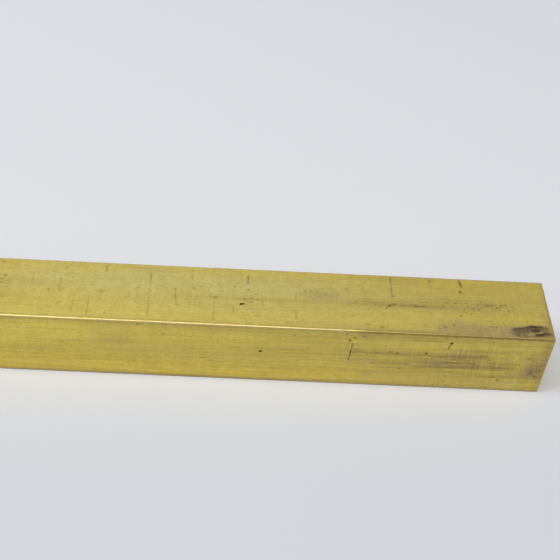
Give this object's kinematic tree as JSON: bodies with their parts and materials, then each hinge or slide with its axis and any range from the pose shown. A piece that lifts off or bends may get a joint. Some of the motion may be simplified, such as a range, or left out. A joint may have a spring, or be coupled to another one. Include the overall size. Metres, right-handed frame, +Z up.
{
  "type": "brass square bar",
  "caption": "Solid drawn metal bar of square section with small rounded long corners and sawn, edge-broken ends; stock for machining, framing or spacing.",
  "frame": {"origin": "middle of the underside, the face the bar rests on", "axes": "+X along the bar's length, +Y across its width, +Z up out of the face it rests on"},
  "size_m": [0.3048, 0.0254, 0.0254],
  "materials": {
    "drawn_brass": "mill-finish drawn brass, satin along the length, lightly tarnished, with transverse handling marks and stains"
  },
  "bodies": {
    "root": {"bar": "drawn_brass"}
  },
  "joints": []
}
